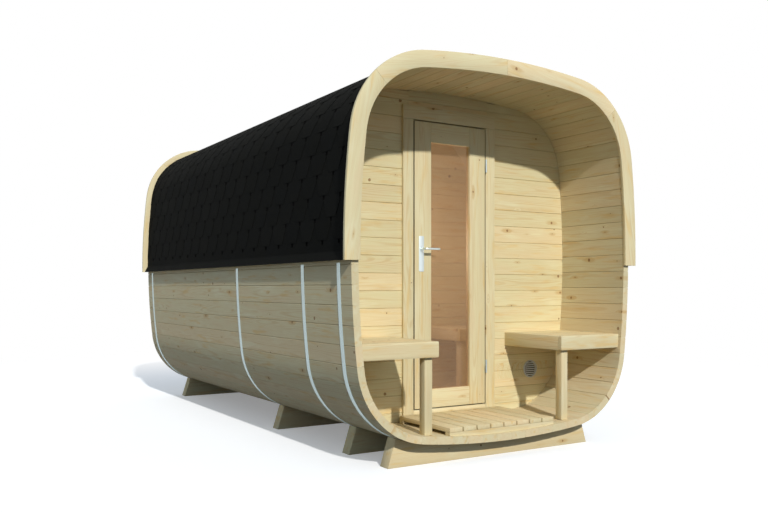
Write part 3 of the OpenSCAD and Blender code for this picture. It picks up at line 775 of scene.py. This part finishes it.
trim.make("door_frame_boards", TRIM, "trim_spruce", ("door_frame",))
casing = Solid()
CASE_Y, CASE_OUT, CASE_LO, CASE_HI, CASE_GAP = PORCH_Y - 0.020, 0.383, 0.191, 2.252, 0.001
for side in (-1, 1):
    lo, hi = span(side, OPEN_HALF, CASE_OUT)
    bar(casing, (lo, CASE_Y, CASE_LO), (hi, PORCH_Y - SEAM, OPEN_HI), 2, r=0.002)
bar(casing, (-CASE_OUT, CASE_Y, OPEN_HI + CASE_GAP), (CASE_OUT, PORCH_Y - SEAM, CASE_HI), 0, r=0.002)
bar(casing, (-OPEN_HALF + CASE_GAP, CASE_Y, CASE_LO), (OPEN_HALF - CASE_GAP, PORCH_Y - SEAM, OPEN_LO), 0,
    r=0.002)
casing.make("door_casing_boards", TRIM, "trim_spruce", ("door_casing",))

# ---------------------------------------------------------------- door leaf
DOOR_HALF, DOOR_LO, DOOR_HI, DOOR_T = 0.295, 0.247, 2.152, 0.040
GLASS_HALF, GLASS_LO, GLASS_HI = 0.161, 0.370, 2.021
AT_EDGE = 0.0004
stiles, rails = Solid(), Solid()
for side in (-1, 1):
    lo, hi = span(side, GLASS_HALF, DOOR_HALF)
    bar(stiles, (lo, CASE_Y, DOOR_LO), (hi, CASE_Y + DOOR_T, DOOR_HI), 2, r=0.002, tone=0.30)
for z0, z1 in ((DOOR_LO, GLASS_LO), (GLASS_HI, DOOR_HI)):
    bar(rails, (-GLASS_HALF + SEAM, CASE_Y + SEAM, z0), (GLASS_HALF - SEAM, CASE_Y + DOOR_T, z1), 0,
        r=0.002, tone=0.33)
leaf = [stiles.make("door_stile_boards", DOOR, "door_spruce", ("door_stiles",), body="door"),
        rails.make("door_rail_boards", DOOR, "door_spruce", ("door_rails",), body="door")]
for piece in leaf:
    # The leaf's outer edges get painted shade: near-black wood standing in for the shadow in the gap to the
    # frame
    piece.data.materials.append(PAINTED_EDGE_SHADE)
    for face in piece.data.polygons:
        x, z = abs(face.center.x), face.center.z
        face.material_index = int(x > DOOR_HALF - AT_EDGE or not DOOR_LO + AT_EDGE <= z <= DOOR_HI - AT_EDGE)
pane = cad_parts["door_glass"]
pane.data.materials.clear()
pane.data.materials.append(glass_material())


# ---------------------------------------------------------------- metalwork
def turned(solid, origin, axis, profile, sides=32, closed=False):
    """A turned piece, or a hoop if closed: rings of (distance along axis, radius) from origin."""
    axis = Vector(axis).normalized()
    a = axis.orthogonal().normalized()
    b = axis.cross(a)
    rings, grain = [], []
    for along, r in profile:
        ring = []
        for i in range(sides):
            t = 2 * math.pi * i / sides
            ring.append(Vector(origin) + axis * along + (a * math.cos(t) + b * math.sin(t)) * r)
            grain.append((along, r * math.cos(t), r * math.sin(t)))
        rings.append(ring)
    solid.tube(rings, grain, 0.5, closed)


def screw(solid, origin, axis):
    """A low screw head with a shallow round hollow."""
    r = 0.0035
    turned(solid, origin, axis, [(-0.002, r * 0.5), (0.0001, r), (0.0006, r * 0.92), (0.0006, r * 0.45),
                                 (-0.0006, r * 0.3)], 16)


HINGE_X, HINGE_Y, HINGE_H, HINGE_ZS = 0.299, -1.440, 0.090, (0.457, 1.852)
KNUCKLE_R, KNUCKLE_END, KNUCKLE_BEVEL, KNUCKLE_GAP, WING_W = 0.0059, 0.0048, 0.0010, 0.001, 0.030
for name, node, body, side in (("door_hinge_wings", "door_hinge_leaves", "door", -1),
                               ("frame_hinge_wings", "frame_hinge_leaves", "cabin", 1)):
    solid = Solid()
    for z in HINGE_ZS:
        z0, h = (z, HINGE_H / 2) if side > 0 else (z + HINGE_H / 2 + KNUCKLE_GAP, HINGE_H / 2 - KNUCKLE_GAP)
        turned(solid, (HINGE_X, HINGE_Y, z0), (0, 0, 1),
               [(0, KNUCKLE_END), (KNUCKLE_BEVEL, KNUCKLE_R), (h - KNUCKLE_BEVEL, KNUCKLE_R),
                (h, KNUCKLE_END)])
        if side < 0:
            turned(solid, (HINGE_X, HINGE_Y, z0 + h), (0, 0, 1),
                   [(-0.0004, 0.0034), (0.0004, 0.0030)])
        x = sorted((HINGE_X + side * 0.0039, HINGE_X + side * 0.0020))
        bar(solid, (x[0], HINGE_Y, z0), (x[1], HINGE_Y + WING_W, z0 + h), 2, r=0.0006, tone=0.5)
    solid.make(name, HINGE, "handle_steel", (node,), body=body)

LEVER_X, LEVER_Z = -0.241, 1.306
PLATE_T, PLATE_HALF_W, PLATE_HALF_H, PLATE_CORNER, PLATE_TOP = 0.003, 0.020, 0.118, 0.008, 0.086
plates = Solid()
for y0, y1, out in ((CASE_Y - PLATE_T, CASE_Y, -1), (CASE_Y + DOOR_T, CASE_Y + DOOR_T + PLATE_T, 1)):
    z_mid = LEVER_Z + PLATE_TOP - PLATE_HALF_H
    rings, grain = [], []
    face_y, back_y = (y0, y1 - 0.0001) if out < 0 else (y1, y0 + 0.0001)
    for y, inset in ((back_y, 0), (face_y - out * 0.0008, 0), (face_y - out * 0.0003, 0.0004),
                     (face_y, 0.001)):
        ring = []
        for u, v in rounded(PLATE_HALF_W - inset, PLATE_HALF_H - inset, PLATE_CORNER - inset, 5):
            ring.append((LEVER_X + u, y, z_mid + v))
            grain.append((v, u, y))
        rings.append(ring)
    plates.tube(rings, grain, 0.5)
    turned(plates, (LEVER_X, face_y, LEVER_Z), (0, out, 0),
           [(-0.001, 0.0145), (0.0016, 0.0145), (0.0024, 0.0138), (0.0024, 0.0105), (-0.001, 0.0105)], 36)
    for dz in (0.070, -0.134):
        screw(plates, (LEVER_X, face_y, LEVER_Z + dz), (0, out, 0))
plates.make("handle_plate_pair", HANDLE, "handle_steel", ("handle_plates",), body="door")

lever = Solid()
REACH, LEVER_R, BEND, LEVER_SIDES = 0.052, 0.0078, 0.014, 24
for face, out in ((CASE_Y, -1), (CASE_Y + DOOR_T, 1)):
    path = [(0.0, -0.012), (0.0, 0.010), (0.0, REACH - BEND)]
    path += [(BEND * (1 - math.cos(a)), REACH - BEND + BEND * math.sin(a))
             for a in (QUARTER * i / 8 for i in range(1, 9))]
    path += [(0.040, REACH), (0.100, REACH), (0.1115, REACH), (0.1140, REACH), (0.1150, REACH)]
    radii = [0.0088, 0.0088, LEVER_R] + [LEVER_R] * 8 + [LEVER_R, 0.0073, 0.0070, 0.0058, 0.0036]
    rings, grain = [], []
    for i, (x, y) in enumerate(path):
        before, after = path[max(i - 1, 0)], path[min(i + 1, len(path) - 1)]
        d = Vector((after[0] - before[0], after[1] - before[1])).normalized()
        ring = []
        for k in range(LEVER_SIDES):
            t = 2 * math.pi * k / LEVER_SIDES
            u, v = radii[i] * math.cos(t), radii[i] * math.sin(t)
            ring.append((LEVER_X + x - d.y * u, face + out * (y + d.x * u), LEVER_Z + v))
            grain.append((x + y, u, v))
        rings.append(ring)
    lever.tube(rings, grain, 0.5)
lever.make("door_lever_pair", HANDLE, "handle_steel", ("door_lever",), body="lever", smooth=40)

# ---------------------------------------------------------------- vent
vent = Solid()
turned(vent, VENT_AT + Vector((0, -0.0002, 0)), (0, -1, 0),
       [(0, VENT_R + RIM_W), (RIM_T - 0.0022, VENT_R + RIM_W), (RIM_T - 0.0006, VENT_R + RIM_W - 0.0012),
        (RIM_T - 0.0002, VENT_R + RIM_W - 0.0030), (RIM_T - 0.0004, VENT_R + 0.0016),
        (RIM_T - 0.0016, VENT_R + 0.0001), (0, VENT_R - 0.0002)], 72, closed=True)
LOUVRES, LOUVRE_STEP, LOUVRE_H = 7, 0.0142, 0.0084
for i in range(LOUVRES):
    z = (i - (LOUVRES - 1) / 2) * LOUVRE_STEP
    rings, grain = [], []
    for k in (-1, 1):
        ring = []
        for y, dz in ((-0.0026, -LOUVRE_H / 2), (-0.0034, -LOUVRE_H / 2 + 0.0006),
                      (-0.0034, LOUVRE_H / 2 - 0.0006), (-0.0026, LOUVRE_H / 2),
                      (-0.0008, LOUVRE_H / 2), (-0.0008, -LOUVRE_H / 2)):
            reach = math.sqrt((VENT_R + 0.0008) ** 2 - (z + dz) ** 2)
            ring.append((VENT_AT.x + k * reach, VENT_AT.y + y, VENT_AT.z + z + dz))
            grain.append((k * reach + i, y, dz))
        rings.append(ring)
    vent.tube(rings, grain, 0.5)
# A dark screen behind the louvres
SCREEN_Y, SCREEN_T, SCREEN_R = 0.010, 0.0006, VENT_R - 0.0006
turned(vent, VENT_AT + Vector((0, SCREEN_Y, 0)), (0, 1, 0), [(0, SCREEN_R), (SCREEN_T, SCREEN_R)], 72)
grille = vent.make("vent_louvres", VENT, "vent_metal", ("vent_grille",))
grille.data.materials.append(MESH)
for face in grille.data.polygons:
    face.material_index = int(face.center.y > VENT_AT.y + SCREEN_Y - 0.001)

# ---------------------------------------------------------------- benches and duckboard
SEAT_Z, APRON_H, BOARD_T, AISLE, LEG = 0.732, 0.093, 0.028, 0.490, 0.055
BOARD_GAP, BOARDS, UNDER_GAP = 0.006, 5, 0.0003


def across_bar(solid, side, x0, z0, z1, y0, y1):
    """A board from x0 out to the staves, whose outer end follows the inside of the shell."""
    levels = [z0 + (z1 - z0) * t for t in (0, 0.04, 0.15, 0.5, 0.85, 0.96, 1)]
    c = cut()
    rings, grain = [], []
    for i, z in enumerate(levels):
        end = inner_half(z) - INNER_GAP
        inset = EDGE_R if i in (0, 6) else (EDGE_R * 0.3 if i in (1, 5) else 0)
        ring = [(side * (x0 + inset), y0 + inset, z), (side * end, y0 + inset, z),
                (side * end, y1 - inset, z), (side * (x0 + inset), y1 - inset, z)]
        rings.append(ring)
        grain += [(p[0] + c[0], p[1] - (y0 + y1) / 2 + c[1], z - z0 + c[2]) for p in ring]
    solid.tube(rings, grain, rng.random())


def bench(name, side, y0, y1):
    """Boards from the aisle to the staves, an apron in front and one along the aisle, on one leg."""
    seat, stand = Solid(), Solid()
    board_w = (y1 - y0 - BOARD_T - BOARD_GAP * BOARDS) / BOARDS
    inside = AISLE + BOARD_T
    for i in range(BOARDS):
        y = y0 + BOARD_T + BOARD_GAP + i * (board_w + BOARD_GAP)
        across_bar(seat, side, inside + 0.001, SEAT_Z - BOARD_T, SEAT_Z, y, y + board_w)
    across_bar(stand, side, AISLE, SEAT_Z - APRON_H, SEAT_Z, y0, y0 + BOARD_T)
    across_bar(stand, side, inside, SEAT_Z - APRON_H, SEAT_Z - BOARD_T - UNDER_GAP,
               y1 - BOARD_T, y1 - UNDER_GAP)
    lo, hi = span(side, AISLE, inside)
    bar(stand, (lo, y0 + BOARD_T + SEAM, SEAT_Z - APRON_H), (hi, y1 - UNDER_GAP, SEAT_Z), 1)
    lo, hi = span(side, inside, inside + LEG)
    foot = under(inside + LEG / 2, -STAVE_T - FOOT_GAP)
    bar(stand, (lo, y0 + BOARD_T, foot), (hi, y0 + BOARD_T + LEG, SEAT_Z - BOARD_T - UNDER_GAP), 2)
    seat.make(name + "_seat_boards", BENCH, "bench_spruce", (name + "_seat",))
    stand.make(name + "_frame_boards", BENCH, "bench_spruce", (name + "_frame",))


BENCH_SETBACK, ROOM_BENCH = 0.022, 0.550
bench("left_bench", -1, FRONT + BENCH_SETBACK, PORCH_Y)
bench("right_bench", 1, FRONT + BENCH_SETBACK, PORCH_Y)
bench("room_bench", 1, INNER_Y - ROOM_BENCH, INNER_Y)

SLATS, DUCK_W, DUCK_TOP, SLAT_T, SLAT_GAP, BATTEN = 8, 0.830, 0.215, 0.028, 0.010, 0.045
duck = Solid()
slat_w = (DUCK_W - SLAT_GAP * (SLATS - 1)) / SLATS
y0, y1 = FRONT + 0.015, CASE_Y - 0.002
for i in range(SLATS):
    x = -DUCK_W / 2 + i * (slat_w + SLAT_GAP)
    bar(duck, (x, y0, DUCK_TOP - SLAT_T), (x + slat_w, y1, DUCK_TOP), 1, r=0.003)
for y in (y0, (y0 + y1 - BATTEN) / 2, y1 - BATTEN):
    c = cut()
    rings, grain = [], []
    for i in range(25):
        x = DUCK_W / 2 * (i / 12 - 1)
        low, high = under(x, -STAVE_T - FOOT_GAP), DUCK_TOP - SLAT_T - UNDER_GAP
        ring = [(x, y + 0.0005, low), (x, y + BATTEN, low), (x, y + BATTEN, high), (x, y + 0.0005, high)]
        rings.append(ring)
        grain += [(p[0] + c[0], p[1] - y + c[1], p[2] + c[2]) for p in ring]
    duck.tube(rings, grain, rng.random())
duck.make("duckboard_slats", DUCK, "duckboard_spruce", ("duckboard",))

# ---------------------------------------------------------------- floor, light and camera
RAYS = ("Is Camera Ray", "Is Glossy Ray", "Is Transmission Ray")
bpy.ops.mesh.primitive_plane_add(size=120, location=(0, 0, 0))
floor = bpy.context.object
floor.name = "floor"
g = Graph("pale_floor")
g.set(Base_Color=(0.90, 0.90, 0.90, 1), Roughness=0.9, Specular_IOR_Level=0.0,
      Emission_Color=(1, 1, 1, 1), Emission_Strength=0.26)
# White far from the sauna, and darker for soft light than it looks
far = g.length(g.node("ShaderNodeNewGeometry", "Position"))
glow = g.node("ShaderNodeEmission", inputs={"Color": (1, 1, 1, 1), "Strength": 1.0})
soft = g.node("ShaderNodeBsdfDiffuse", inputs={"Color": (0.11, 0.115, 0.12, 1)})
seen = g.node("ShaderNodeMixShader", inputs={0: g.ramp(far, 2.6, 7.0), 1: g.surface.outputs[0], 2: glow})
camera_ray, glossy_ray, passing_ray = (g.node("ShaderNodeLightPath", kind) for kind in RAYS)
shown = g.math("MAXIMUM", g.math("MAXIMUM", camera_ray, glossy_ray), passing_ray)
blend = g.node("ShaderNodeMixShader", inputs={0: shown, 1: soft, 2: seen})
g.put(g.tree.nodes["Material Output"].inputs["Surface"], blend)
floor.data.materials.append(g.material)
floor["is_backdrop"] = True

world = bpy.data.worlds.new("studio")
bpy.context.scene.world = world
world.use_nodes = True
tree = world.node_tree
tree.nodes.clear()
path = tree.nodes.new("ShaderNodeLightPath")
either = [tree.nodes.new("ShaderNodeMath") for _ in range(2)]
for m in either:
    m.operation = "MAXIMUM"
tree.links.new(path.outputs[RAYS[0]], either[0].inputs[0])
tree.links.new(path.outputs[RAYS[1]], either[0].inputs[1])
tree.links.new(either[0].outputs[0], either[1].inputs[0])
tree.links.new(path.outputs[RAYS[2]], either[1].inputs[1])
fill = tree.nodes.new("ShaderNodeBackground")
fill.inputs["Color"].default_value = (0.84, 1.0, 1.20, 1)
fill.inputs["Strength"].default_value = 0.42
white = tree.nodes.new("ShaderNodeBackground")
white.inputs["Color"].default_value = (1, 1, 1, 1)
white.inputs["Strength"].default_value = 1.0
mixer = tree.nodes.new("ShaderNodeMixShader")
tree.links.new(either[1].outputs[0], mixer.inputs[0])
tree.links.new(fill.outputs[0], mixer.inputs[1])
tree.links.new(white.outputs[0], mixer.inputs[2])
tree.links.new(mixer.outputs[0], tree.nodes.new("ShaderNodeOutputWorld").inputs["Surface"])

key = place("key", bpy.data.lights.new("key", "SUN"))
key.data.energy = 3.0
key.data.color = (1.0, 0.985, 0.955)
key.data.angle = math.radians(1.6)
key.rotation_euler = Vector((0.222, 1.0, -0.668)).to_track_quat("-Z", "Y").to_euler()

# A lamp in the first room, so that its bench shows through the glass
room = place("room_lamp", bpy.data.lights.new("room_lamp", "POINT"))
room.data.energy = 17.0
room.data.color = (0.84, 1.0, 1.10)
room.data.shadow_soft_size = 0.25
room.location = (0.05, -1.00, 1.35)

camera = place("camera", bpy.data.cameras.new("camera"))
camera.location = (-3.2713, -5.8651, 1.0466)
camera.rotation_euler = (QUARTER, 0, -0.5533)
camera.data.sensor_width = 36
camera.data.lens = 37.947
camera.data.shift_y = 0.0411
bpy.context.scene.camera = camera
bpy.context.scene.view_settings.view_transform = "Standard"

lo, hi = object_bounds()
